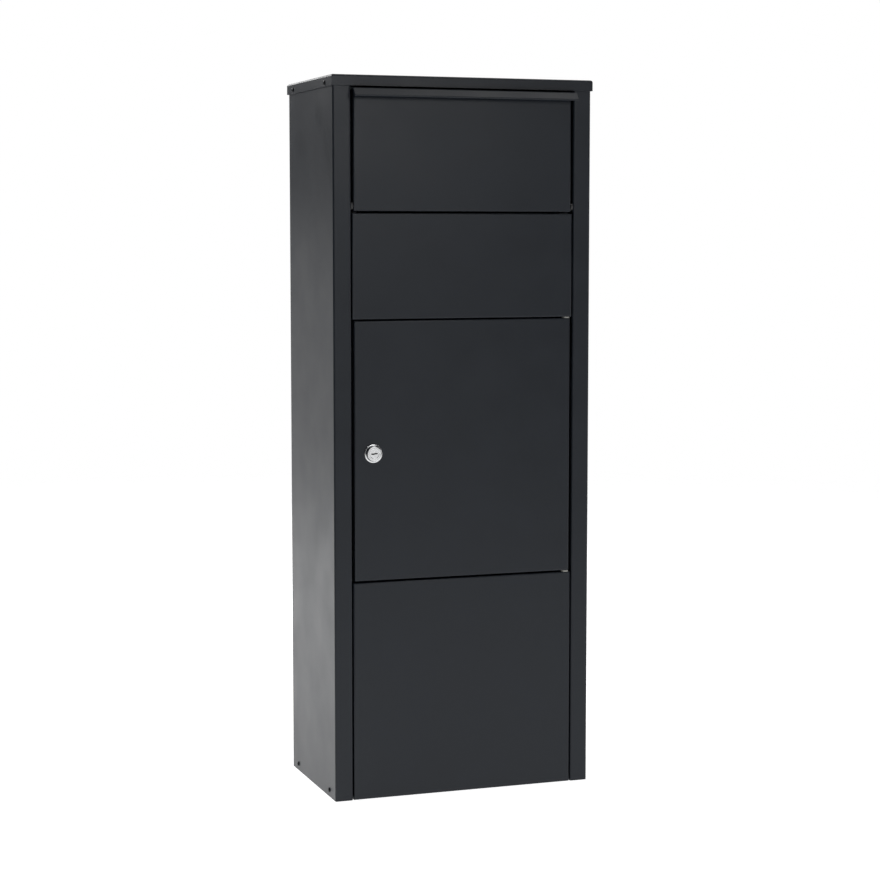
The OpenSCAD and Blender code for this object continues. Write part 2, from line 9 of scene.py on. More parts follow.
import logging
import math
from collections.abc import Iterable
from dataclasses import dataclass, field
from enum import Enum

import bmesh
import bpy
from bmesh.types import BMesh, BMEdge, BMFace, BMVert
from mathutils import Matrix, Vector


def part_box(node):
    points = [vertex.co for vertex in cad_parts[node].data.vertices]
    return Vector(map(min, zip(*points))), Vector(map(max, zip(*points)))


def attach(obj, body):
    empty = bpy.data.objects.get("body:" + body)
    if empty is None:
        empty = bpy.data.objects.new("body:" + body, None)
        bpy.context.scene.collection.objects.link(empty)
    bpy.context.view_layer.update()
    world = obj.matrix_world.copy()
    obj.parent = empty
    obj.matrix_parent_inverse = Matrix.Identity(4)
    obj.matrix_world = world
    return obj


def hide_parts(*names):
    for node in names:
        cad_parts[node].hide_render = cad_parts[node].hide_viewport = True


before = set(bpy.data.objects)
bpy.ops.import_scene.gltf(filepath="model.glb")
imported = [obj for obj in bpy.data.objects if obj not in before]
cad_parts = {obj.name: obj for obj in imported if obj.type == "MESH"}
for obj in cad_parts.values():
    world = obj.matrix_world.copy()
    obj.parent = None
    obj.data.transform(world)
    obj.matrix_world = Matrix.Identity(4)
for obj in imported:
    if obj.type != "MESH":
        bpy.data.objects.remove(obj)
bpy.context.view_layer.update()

LOG = logging.getLogger("parcel_locker")
MM = 0.001
# Edges that turn by less than this, in degrees, only divide a flat face.
FLAT_TURN = 0.5
# Edges that turn by more than this are creases to round, and by more than the second, cut edges.
CREASE_TURN = 40
CUT_TURN = 50
# Faces across a softened edge.
EDGE_STEPS = 2
# Points nearer than this, in millimetres, are one: in a CAD node's mesh, and in a new shape.
CAD_WELD, FINE_WELD = 1e-3, 1e-4
# Two directions look the same way if their dot product is above this.
SAME_WAY = 0.9
# The floor of a recess, as a share of its mouth.
RECESS_TAPER = 0.92
# How much large faces count in shading against small ones, where 50 is neutral.
LARGE_FACE_WEIGHT = 90
# Nearly all the values of a noise pattern lie between these.
NOISE_SPAN = {"From Min": 0.3, "From Max": 0.7}
# The refractive index of polyester, nylon and rubber.
POLYMER_IOR = 1.5
X_AXIS, Y_AXIS, Z_AXIS = Vector((1, 0, 0)), Vector((0, 1, 0)), Vector((0, 0, 1))


class Body(Enum):
    """The rigid bodies of the frame that the pieces ride on."""

    CABINET = "cabinet"
    DRAWER = "parcel_drawer"
    DOOR = "door"
    LOCK_CORE = "lock_core"


class Slot(Enum):
    """The material slots of the record."""

    STEEL = "powder_coated_steel"
    CHROME = "chrome_lock"
    ZINC = "zinc_steel"
    BLACK = "black_screw"
    NYLON = "nylon_bush"
    RUBBER = "rubber_stop"


# ---------------------------------------------------------------- materials


def linear(code: str) -> tuple[float, float, float, float]:
    """Turn an sRGB hex colour into linear light.

    Args:
        code: six hex digits, red first, with or without a leading #.

    Returns:
        Red, green, blue and an alpha of 1.
    """
    digits = code.lstrip("#")
    parts = [int(digits[i : i + 2], 16) / 255 for i in (0, 2, 4)]
    light = [c / 12.92 if c <= 0.04045 else ((c + 0.055) / 1.055) ** 2.4 for c in parts]
    return (light[0], light[1], light[2], 1.0)


def add_node(
    tree: bpy.types.NodeTree, kind: str, sockets: dict[str | int, object], **settings: object
) -> bpy.types.Node:
    """Add a shader node with its settings, values and links.

    Args:
        tree: the node tree that the node joins.
        kind: the node's type name without its ShaderNode prefix.
        sockets: for each input, another node's output to link from, or a value.
        settings: attributes of the node itself.

    Returns:
        The new node.
    """
    node = tree.nodes.new("ShaderNode" + kind)
    for key, value in settings.items():
        setattr(node, key, value)
    for key, value in sockets.items():
        if isinstance(value, bpy.types.NodeSocket):
            tree.links.new(value, node.inputs[key])
        else:
            node.inputs[key].default_value = value
    return node


def per_metre(size_mm: float) -> float:
    """Return the pattern scale, in repeats a metre, of a blot of the given size."""
    return 1 / (size_mm * MM)


def new_material(name: str) -> tuple[bpy.types.Material, bpy.types.NodeTree, bpy.types.NodeSocket]:
    """Start an empty node material.

    Args:
        name: the material's name.

    Returns:
        The material, its nodes and its object coordinates.
    """
    material = bpy.data.materials.new(name)
    material.use_nodes = True
    tree = material.node_tree
    tree.nodes.clear()
    place = add_node(tree, "TexCoord", {}).outputs["Object"]
    return material, tree, place


@dataclass(frozen=True)
class PowderCoat:
    """Fine-texture polyester powder coat, sprayed and baked on folded steel.

    It gives the eye a matt, very slightly grained skin over sheet that is not quite flat, so that long soft
    reflections waver a little.
    """

    name: str
    deep: str
    pale: str
    roughness: float = 0.385
    gloss: float = 0.3
    cloud_mm: float = 60.0
    # The real grain is about 0.4 mm across. It is drawn twice as coarse, to show at all.
    grain_mm: float = 0.8
    grain_depth_mm: float = 0.012
    wave_mm: float = 190.0
    wave_depth_mm: float = 0.10
    speck_share: float = 0.35
    rough_spread: float = 0.025

    def material(self) -> bpy.types.Material:
        """Build the coat's material.

        Returns:
            The material.
        """
        material, tree, place = new_material(self.name)
        spot = {"Vector": place, "Detail": 2.0}
        cloud = add_node(tree, "TexNoise", spot | {"Scale": per_metre(self.cloud_mm)})
        grain = add_node(tree, "TexNoise", spot | {"Scale": per_metre(self.grain_mm)})
        wave = add_node(tree, "TexNoise", spot | {"Scale": per_metre(self.wave_mm)})
        mixing = {"Factor": cloud.outputs["Fac"], "A": linear(self.deep), "B": linear(self.pale)}
        tint = add_node(tree, "Mix", mixing, data_type="RGBA").outputs["Result"]
        specks = NOISE_SPAN | {"Value": grain.outputs["Fac"], "To Max": self.speck_share}
        speck = add_node(tree, "MapRange", specks).outputs["Result"]
        mixing = {"Factor": speck, "A": tint, "B": linear(self.pale)}
        colour = add_node(tree, "Mix", mixing, data_type="RGBA").outputs["Result"]
        shades = NOISE_SPAN | {"Value": cloud.outputs["Fac"]}
        shades |= {"To Min": self.roughness - self.rough_spread, "To Max": self.roughness + self.rough_spread}
        rough = add_node(tree, "MapRange", shades).outputs["Result"]
        sway = add_node(tree, "Bump", {"Height": wave.outputs["Fac"], "Distance": self.wave_depth_mm * MM})
        relief = {"Height": grain.outputs["Fac"], "Distance": self.grain_depth_mm * MM}
        skin = add_node(tree, "Bump", relief | {"Normal": sway.outputs["Normal"]}).outputs["Normal"]
        sockets = {"Base Color": colour, "Roughness": rough, "Normal": skin}
        sockets |= {"IOR": POLYMER_IOR, "Specular IOR Level": self.gloss}
        coat = add_node(tree, "BsdfPrincipled", sockets)
        add_node(tree, "OutputMaterial", {"Surface": coat.outputs["BSDF"]})
        return material


@dataclass(frozen=True)
class PlatedMetal:
    """Plated steel or zinc die casting: bright metal with faint polishing or handling marks.

    It gives the eye a mirror that is broken up a little by fine marks, and duller in soft blots.
    """

    name: str
    bright: str
    dull: str
    roughness: float
    mark_mm: float
    mark_depth_mm: float
    blot_mm: float = 9.0
    least_rough: float = 0.75
    most_rough: float = 1.3

    def material(self) -> bpy.types.Material:
        """Build the metal's material.

        Returns:
            The material.
        """
        material, tree, place = new_material(self.name)
        spot = {"Vector": place, "Detail": 4.0}
        blots = add_node(tree, "TexNoise", spot | {"Scale": per_metre(self.blot_mm)})
        marks = add_node(tree, "TexNoise", spot | {"Scale": per_metre(self.mark_mm)})
        mixing = {"Factor": blots.outputs["Fac"], "A": linear(self.bright), "B": linear(self.dull)}
        colour = add_node(tree, "Mix", mixing, data_type="RGBA").outputs["Result"]
        shades = NOISE_SPAN | {"Value": marks.outputs["Fac"]}
        shades |= {"To Min": self.roughness * self.least_rough, "To Max": self.roughness * self.most_rough}
        rough = add_node(tree, "MapRange", shades).outputs["Result"]
        relief = {"Height": marks.outputs["Fac"], "Distance": self.mark_depth_mm * MM}
        skin = add_node(tree, "Bump", relief).outputs["Normal"]
        sockets = {"Base Color": colour, "Metallic": 1.0, "Roughness": rough, "Normal": skin}
        metal = add_node(tree, "BsdfPrincipled", sockets)
        add_node(tree, "OutputMaterial", {"Surface": metal.outputs["BSDF"]})
        return material


@dataclass(frozen=True)
class MouldedPlastic:
    """Injection-moulded nylon or rubber, from a spark-eroded mould.

    It gives the eye a dull skin with a fine grain, a little paler where it is rubbed.
    """

    name: str
    base: str
    rubbed: str
    roughness: float
    cloud_mm: float = 7.0
    grain_mm: float = 0.35
    grain_depth_mm: float = 0.02
    rough_spread: float = 0.05

    def material(self) -> bpy.types.Material:
        """Build the plastic's material.

        Returns:
            The material.
        """
        material, tree, place = new_material(self.name)
        spot = {"Vector": place, "Detail": 2.0}
        grain = add_node(tree, "TexNoise", spot | {"Scale": per_metre(self.grain_mm)})
        cloud = add_node(tree, "TexNoise", spot | {"Scale": per_metre(self.cloud_mm)})
        mixing = {"Factor": cloud.outputs["Fac"], "A": linear(self.base), "B": linear(self.rubbed)}
        colour = add_node(tree, "Mix", mixing, data_type="RGBA").outputs["Result"]
        shades = NOISE_SPAN | {"Value": cloud.outputs["Fac"]}
        shades |= {"To Min": self.roughness - self.rough_spread, "To Max": self.roughness + self.rough_spread}
        rough = add_node(tree, "MapRange", shades).outputs["Result"]
        relief = {"Height": grain.outputs["Fac"], "Distance": self.grain_depth_mm * MM}
        skin = add_node(tree, "Bump", relief).outputs["Normal"]
        sockets = {"Base Color": colour, "Roughness": rough, "IOR": POLYMER_IOR, "Normal": skin}
        plastic = add_node(tree, "BsdfPrincipled", sockets)
        add_node(tree, "OutputMaterial", {"Surface": plastic.outputs["BSDF"]})
        return material


@dataclass
class Finishes:
    """One material for each material slot of the record, and two that share a slot."""

    by_slot: dict[Slot, bpy.types.Material] = field(default_factory=dict)
    dark_nylon: bpy.types.Material | None = None
    # The key slot's material, with the slot's shade painted in.
    keyway_painted_shade: bpy.types.Material | None = None

    def __post_init__(self) -> None:
        """Build the materials."""
        makers = {
            # Matt charcoal with a cold tinge, a shade paler in soft clouds.
            Slot.STEEL: PowderCoat("anthracite_powder_coated_steel", "#161a20", "#1c2128"),
            # Near-white mirror that blurs what it shows.
            Slot.CHROME: PlatedMetal(
                "polished_chrome_plate", "#dcdddd", "#cbccce",
                roughness=0.18, mark_mm=0.5, mark_depth_mm=0.004,
            ),
            # Bluish grey metal, dull where it was handled.
            Slot.ZINC: PlatedMetal(
                "bright_zinc_plated_steel", "#b3b6b9", "#9a9da1",
                roughness=0.34, mark_mm=0.6, mark_depth_mm=0.02,
            ),
            # Nearly black metal with a soft sheen.
            Slot.BLACK: PlatedMetal(
                "black_zinc_plated_steel", "#2a2b2d", "#1f2021",
                roughness=0.38, mark_mm=0.4, mark_depth_mm=0.02,
            ),
            # Milky grey, so that a bush is a small pale spot in its seam.
            Slot.NYLON: MouldedPlastic("natural_moulded_nylon", "#8f8e89", "#a09f9a", roughness=0.5),
            # Dull black, a little dusty.
            Slot.RUBBER: MouldedPlastic("black_moulded_rubber", "#1b1b1c", "#262627", roughness=0.75),
        }
        self.by_slot = {slot: maker.material() for slot, maker in makers.items()}
        # Black with a soft sheen, so that the drawer's bushes do not show in its seams.
        nylon = MouldedPlastic("black_moulded_nylon", "#1a1a1b", "#222223", roughness=0.5)
        self.dark_nylon = nylon.material()
        # The key slot's faces are rough, unpolished and oily cut metal, painted near-black with the shade
        # that falls inside the narrow slot.
        cut = PlatedMetal(
            "painted_shade_keyway", "#1d1d1e", "#141414",
            roughness=0.6, mark_mm=0.4, mark_depth_mm=0.02,
        )
        self.keyway_painted_shade = cut.material()


# ---------------------------------------------------------------- meshes


def corners(node: str) -> tuple[Vector, Vector]:
    """Return a CAD node's lowest and highest corners, in millimetres."""
    low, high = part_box(node)
    return Vector(low) / MM, Vector(high) / MM


def merged_copy(node: str) -> BMesh:
    """Copy a CAD node's mesh in millimetres, with its loose triangles joined.

    Args:
        node: the CAD node.

    Returns:
        The copy.
    """
    bm = bmesh.new()
    bm.from_mesh(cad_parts[node].data)
    bmesh.ops.scale(bm, vec=(1 / MM, 1 / MM, 1 / MM), verts=bm.verts[:])
    bmesh.ops.remove_doubles(bm, verts=bm.verts[:], dist=CAD_WELD)
    return bm


def solids_of(node: str) -> list[tuple[Vector, Vector]]:
    """Find the separate solids of a CAD node.

    Args:
        node: the CAD node.

    Returns:
        Each solid's lowest and highest corners, in millimetres.
    """
    bm = merged_copy(node)
    left = set(bm.verts)
    boxes = []
    while left:
        start = left.pop()
        group, border = [start], [start]
        while border:
            vert = border.pop()
            fresh = [e.other_vert(vert) for e in vert.link_edges if e.other_vert(vert) in left]
            left.difference_update(fresh)
            group.extend(fresh)
            border.extend(fresh)
        low = Vector([min(v.co[i] for v in group) for i in range(3)])
        high = Vector([max(v.co[i] for v in group) for i in range(3)])
        boxes.append((low, high))
    bm.free()
    return sorted(boxes, key=lambda box: tuple(box[0]))


def add_mesh(target: BMesh, part: BMesh) -> None:
    """Move the geometry of one mesh into another.

    Args:
        target: the mesh that receives it.
        part: the mesh that is used up.
    """
    holder = bpy.data.meshes.new("holder")
    part.to_mesh(holder)
    part.free()
    target.from_mesh(holder)
    bpy.data.meshes.remove(holder)


def sharp_edges(bm: BMesh, least_angle: float) -> list[BMEdge]:
    """Return the edges whose two faces turn by more than least_angle degrees."""
    least = math.radians(least_angle)
    return [e for e in bm.edges if len(e.link_faces) == 2 and e.calc_face_angle(0.0) > least]


def soften(bm: BMesh, edges: list[BMEdge], radius: float, segments: int) -> None:
    """Round edges.

    Args:
        bm: their mesh.
        edges: the edges.
        radius: the radius, in millimetres.
        segments: how many faces go across each.
    """
    bmesh.ops.bevel(
        bm, geom=edges, offset=radius, offset_type="OFFSET", segments=segments, profile=0.5,
        affect="EDGES", material=-1, clamp_overlap=True,
    )


def placed(bm: BMesh, origin: Vector, z_to: Vector) -> BMesh:
    """Turn a shape's +Z to the direction z_to, and move it to origin.

    Args:
        bm: the shape, in millimetres.
        origin: where its own origin goes.
        z_to: where its own +Z goes.

    Returns:
        The same shape.
    """
    if z_to.z < -SAME_WAY:
        turn = Matrix.Rotation(math.pi, 4, "X")
    else:
        turn = Z_AXIS.rotation_difference(z_to).to_matrix().to_4x4()
    bmesh.ops.transform(bm, matrix=Matrix.Translation(origin) @ turn, verts=bm.verts[:])
    return bm


def turned(profile: list[tuple[float, float]], steps: int) -> BMesh:
    """Turn a closed profile about Z, as on a lathe.

    Args:
        profile: radius and height of each corner of the profile, in millimetres, all the way round.
        steps: how many faces go round.

    Returns:
        The closed ring, with its faces outwards.
    """
    bm = bmesh.new()
    verts = [bm.verts.new((radius, 0, height)) for radius, height in profile]
    edges = [bm.edges.new(pair) for pair in zip(verts, verts[1:] + verts[:1])]
    bmesh.ops.spin(
        bm, geom=verts + edges, cent=(0, 0, 0), axis=(0, 0, 1), dvec=(0, 0, 0),
        angle=2 * math.pi, steps=steps, use_merge=True, use_normal_flip=False, use_duplicate=False,
    )
    bmesh.ops.remove_doubles(bm, verts=bm.verts[:], dist=FINE_WELD)
    bmesh.ops.recalc_face_normals(bm, faces=bm.faces[:])
    return bm


def ring_of_edges(bm: BMesh, points: Iterable[tuple[float, float]], height: float) -> list[BMEdge]:
    """Draw a closed outline at a height.

    Args:
        bm: the mesh that it joins.
        points: the outline's corners.
        height: its Z.

    Returns:
        The outline's edges.
    """
    verts = [bm.verts.new((x, y, height)) for x, y in points]
    return [bm.edges.new(pair) for pair in zip(verts, verts[1:] + verts[:1])]


def round_outline(bm: BMesh, radius: float, steps: int, place: Matrix) -> list[BMEdge]:
    """Draw a circle.

    Args:
        bm: the mesh that it joins.
        radius: its radius.
        steps: how many edges it has.
        place: what moves it from the origin, where it lies about Z.

    Returns:
        Its edges.
    """
    made = bmesh.ops.create_circle(bm, cap_ends=False, segments=steps, radius=radius, matrix=place)
    return list(dict.fromkeys(e for v in made["verts"] for e in v.link_edges))


def swept_down(bm: BMesh, edges: list[BMEdge], stages: list[tuple[float, float]]) -> None:
    """Run an outline down through several stages, and close its end.

    Args:
        bm: the outline's mesh.
        edges: the outline's edges.
        stages: for each stage, the factor on the outline's size and the step down.
    """
    loop = edges
    for factor, step in stages:
        grown = bmesh.ops.extrude_edge_only(bm, edges=loop)["geom"]
        verts = [g for g in grown if isinstance(g, BMVert)]
        loop = [g for g in grown if isinstance(g, BMEdge) and g.is_boundary]
        loop = [e for e in loop if e.verts[0] in verts and e.verts[1] in verts]
        bmesh.ops.scale(bm, vec=(factor, factor, 1), verts=verts)
        bmesh.ops.translate(bm, vec=(0, 0, -step), verts=verts)
    bmesh.ops.contextual_create(bm, geom=loop)


def button(
    steps: int, stages: list[tuple[float, float]], recess: list[tuple[float, float]] | float, depth: float
) -> BMesh:
    """Make a round head or plug with a recess in its flat top, standing on Z = 0.

    Args:
        steps: how many faces go round.
        stages: radius and height of each ring, from the flat top down.
        recess: the outline of the recess, or the radius of a round one, which has half as many faces.
        depth: the recess's depth.

    Returns:
        The closed shape, with its faces outwards.
    """
    bm = bmesh.new()
    top_r, top_z = stages[0]
    level = Matrix.Translation((0, 0, top_z))
    rim = round_outline(bm, top_r, steps, level)
    if isinstance(recess, float):
        hole = round_outline(bm, recess, steps // 2, level)
    else:
        hole = ring_of_edges(bm, recess, top_z)
    bmesh.ops.triangle_fill(bm, use_beauty=True, use_dissolve=False, edges=rim + hole, normal=(0, 0, 1))
    falls = [(r1 / r0, z0 - z1) for (r0, z0), (r1, z1) in zip(stages, stages[1:])]
    swept_down(bm, rim, falls)
    swept_down(bm, hole, [(RECESS_TAPER, depth)])
    bmesh.ops.recalc_face_normals(bm, faces=bm.faces[:])
    return bm


@dataclass
class Blank:
    """A sheet that is folded step by step: its faces are the outer faces of the sheet."""

    thickness: float = 1.5
    outer_r: float = 2.5
    bend_steps: int = 5
    cut_edge_r: float = 0.3
    least_inner_r: float = 0.5
    hole_steps: int = 40
    bm: BMesh = field(default_factory=bmesh.new)

    def rounded(self) -> None:
        """Round every crease: the outer radius outside a bend, the inner one inside it."""
        for convex in (True, False):
            radius = self.outer_r if convex else max(self.outer_r - self.thickness, self.least_inner_r)
            creases = [e for e in sharp_edges(self.bm, CREASE_TURN) if e.is_convex == convex]
            if creases:
                soften(self.bm, creases, radius, self.bend_steps)

    def close(self) -> BMesh:
        """Give the sheet its thickness, inwards, and soften its cut edges.

        Returns:
            The finished shell.
        """
        rim = self.bm.verts.layers.int.new("rim")
        for edge in self.bm.edges:
            if edge.is_boundary:
                for vert in edge.verts:
                    vert[rim] = 1
        bmesh.ops.solidify(self.bm, geom=self.bm.faces[:], thickness=self.thickness)
        cut_edges = [e for e in sharp_edges(self.bm, CUT_TURN) if e.verts[0][rim] and e.verts[1][rim]]
        soften(self.bm, cut_edges, self.cut_edge_r, EDGE_STEPS)
        return self.bm

    def strip(self, path: list[Vector], run: Vector, outside: Vector) -> BMesh:
        """Fold a long strip.

        Args:
            path: the corners of its section's outer face.
            run: direction and length of the strip.
            outside: the way that its widest face across this direction looks.

        Returns:
            The finished shell.
        """
        self.extruded(path, run, outside)
        self.rounded()
        return self.close()

    def extruded(self, path: list[Vector], run: Vector, outside: Vector) -> None:
        """Draw a section and run it along, with its widest face across outside looking that way.

        Args:
            path: the corners of the section's outer face.
            run: direction and length of the strip.
            outside: the way that face looks.
        """
        verts = [self.bm.verts.new(p) for p in path]
        edges = [self.bm.edges.new(pair) for pair in zip(verts, verts[1:])]
        grown = bmesh.ops.extrude_edge_only(self.bm, edges=edges)["geom"]
        bmesh.ops.translate(self.bm, verts=[g for g in grown if isinstance(g, BMVert)], vec=run)
        bmesh.ops.recalc_face_normals(self.bm, faces=self.bm.faces[:])
        widest = max(self.bm.faces, key=lambda f: f.calc_area() * abs(f.normal.dot(outside)))
        if widest.normal.dot(outside) < 0:
            bmesh.ops.reverse_faces(self.bm, faces=self.bm.faces[:])

    def pan(self, low: Vector, high: Vector, face: Vector) -> Blank:
        """Fold a pan: one flat face with a flange along each of its four edges.

        Args:
            low: lowest corner of the pan's box.
            high: highest corner of the pan's box.
            face: outward direction of the flat face.

        Returns:
            The same blank.
        """
        bmesh.ops.create_cube(self.bm, size=1)
        bmesh.ops.scale(self.bm, vec=high - low, verts=self.bm.verts[:])
        bmesh.ops.translate(self.bm, vec=(low + high) / 2, verts=self.bm.verts[:])
        self.bm.normal_update()
        back = [f for f in self.bm.faces if f.normal.dot(face) < -SAME_WAY]
        bmesh.ops.delete(self.bm, geom=back, context="FACES_ONLY")
        front = next(f for f in self.bm.faces if f.normal.dot(face) > SAME_WAY)
        soften(self.bm, list(front.edges), self.outer_r, self.bend_steps)
        return self

    def pierced(self, face: Vector, centre: Vector, radius: float) -> Blank:
        """Punch a round hole in the flat face.

        Args:
            face: outward direction of that face, along an axis.
            centre: the hole's centre, on the face.
            radius: the hole's radius.

        Returns:
            The same blank.
        """
        flat = max((f for f in self.bm.faces if f.normal.dot(face) > SAME_WAY), key=BMFace.calc_area)
        outline = list(flat.edges)
        bmesh.ops.delete(self.bm, geom=[flat], context="FACES_ONLY")
        turn = Z_AXIS.rotation_difference(face).to_matrix().to_4x4()
        hole = round_outline(self.bm, radius, self.hole_steps, Matrix.Translation(centre) @ turn)
        bmesh.ops.triangle_fill(
            self.bm, use_beauty=True, use_dissolve=False, edges=outline + hole, normal=face
        )
        return self


@dataclass
class Workshop:
    """Turns finished shapes into the scene's pieces."""

    finishes: Finishes

    def piece(
        self, name: str, bm: BMesh, body: Body, slot: Slot, crease: float = CUT_TURN,
        finish: bpy.types.Material | None = None,
    ) -> bpy.types.Object:
        """Dress a shape, and let it ride in place of the CAD node of the same name.

        Args:
            name: the CAD node that it replaces.
            bm: its shape in millimetres, which is used up.
            body: the body that it rides on.
            slot: the record's material slot that its finish comes from.
            crease: edges that turn by more than this, in degrees, stay sharp.
            finish: a material other than the slot's own.

        Returns:
            The new object.
        """
        bmesh.ops.scale(bm, vec=(MM, MM, MM), verts=bm.verts[:])
        mesh = bpy.data.meshes.new(name + "_look")
        bm.to_mesh(mesh)
        bm.free()
        mesh.shade_smooth()
        mesh.set_sharp_from_angle(angle=math.radians(crease))
        mesh.materials.append(finish or self.finishes.by_slot[slot])
        made = bpy.data.objects.new(name + "_look", mesh)
        bpy.context.scene.collection.objects.link(made)
        shading = made.modifiers.new("even_normals", "WEIGHTED_NORMAL")
        shading.weight = LARGE_FACE_WEIGHT
        shading.keep_sharp = True
        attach(made, body.value)
        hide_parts(name)
        LOG.info("%s: %d faces, on %s", name, len(mesh.polygons), body.value)
        return made

    def softened(
        self, node: str, body: Body, slot: Slot, radius: float = 0.25,
        finish: bpy.types.Material | None = None,
    ) -> bpy.types.Object:
        """Copy a CAD node and round its sharp edges.

        Args:
            node: the CAD node.
            body: the body that it rides on.
            slot: the record's material slot that its finish comes from.
            radius: the radius of the edges.
            finish: a material other than the slot's own.

        Returns:
            The new object.
        """
        bm = merged_copy(node)
        bmesh.ops.dissolve_limit(
            bm, angle_limit=math.radians(FLAT_TURN), use_dissolve_boundaries=False, verts=bm.verts[:],
            edges=bm.edges[:], delimit=set(),
        )
        soften(bm, sharp_edges(bm, CREASE_TURN), radius, EDGE_STEPS)
        return self.piece(node, bm, body, slot, finish=finish)


# ---------------------------------------------------------------- sub-assemblies


@dataclass
class Carcass:
    """The cabinet's fixed sheets, with the brackets, bumpers and bushes that are set in them."""

    shop: Workshop
    sheet: float = 1.5
    side_bend_r: float = 2.5
    cover_bend_r: float = 3.0
    cover_bend_steps: int = 7
    panel_bend_r: float = 2.0
    column_w: float = 25.5
    column_depth: float = 19.0
    stop_flange: float = 13.5
    rear_flange: float = 20.0
    panel_edge: float = 12.0
    panel_flange: float = 10.5
    flange_lap: float = 1.0

    def build(self) -> None:
        """Build every fixed sheet, and what is set in it."""
        self.side("left_side_panel", -1)
        self.side("right_side_panel", 1)
        self.cover()
        self.fixed_panel("middle_front_panel")
        self.fixed_panel("lower_front_panel")
        for node in ("back_panel", "base_plate", "compartment_floor"):
            self.shop.softened(node, Body.CABINET, Slot.STEEL)
        self.shop.softened("floor_brackets", Body.CABINET, Slot.ZINC)
        for node in ("drawer_bumpers", "door_bumpers"):
            self.shop.softened(node, Body.CABINET, Slot.RUBBER)
        self.shop.softened("door_hinge_bushes", Body.CABINET, Slot.NYLON)
        dark = self.shop.finishes.dark_nylon
        self.shop.softened("drawer_pivot_bushes", Body.CABINET, Slot.NYLON, finish=dark)

    def side(self, name: str, hand: int) -> None:
        """Fold a side panel: rear flange, wall, front column, its return and the stop flange.

        Args:
            name: the panel's CAD node.
            hand: -1 for the left-hand panel, 1 for the right-hand one.
        """
        low, high = corners(name)
        wall = high.x if hand > 0 else low.x
        inner = wall - hand * self.column_w
        stop = inner - hand * self.stop_flange
        rear_edge = wall - hand * self.rear_flange
        deep = low.y + self.column_depth - self.sheet
        path = [
            Vector((rear_edge, high.y, 0)), Vector((wall, high.y, 0)), Vector((wall, low.y, 0)),
            Vector((inner, low.y, 0)), Vector((inner, deep, 0)), Vector((stop, deep, 0)),
        ]
        shape = Blank(self.sheet, self.side_bend_r).strip(path, Vector((0, 0, high.z)), X_AXIS * hand)
        self.shop.piece(name, shape, Body.CABINET, Slot.STEEL)

    def cover(self) -> None:
        """Fold the cover, with its skirt all round."""
        low, high = corners("top_cover")
        shape = Blank(self.sheet, self.cover_bend_r, self.cover_bend_steps).pan(low, high, Z_AXIS).close()
        self.shop.piece("top_cover", shape, Body.CABINET, Slot.STEEL)

    def fixed_panel(self, name: str) -> None:
        """Fold a fixed front panel, with the flanges that are riveted to the stop flanges.

        Args:
            name: the panel's CAD node.
        """
        low, high = corners(name)
        rear = low.y + self.panel_edge
        shape = Blank(self.sheet, self.panel_bend_r).pan(low, Vector((high.x, rear, high.z)), -Y_AXIS).close()
        foot = low.z + self.panel_bend_r
        run = Vector((0, 0, high.z - low.z - 2 * self.panel_bend_r))
        for hand in (-1, 1):
            x = hand * high.x
            path = [
                Vector((x, rear - self.flange_lap, foot)), Vector((x, high.y, foot)),
                Vector((x - hand * self.panel_flange, high.y, foot)),
            ]
            add_mesh(shape, Blank(self.sheet, self.side_bend_r).strip(path, run, X_AXIS * hand))
        self.shop.piece(name, shape, Body.CABINET, Slot.STEEL)


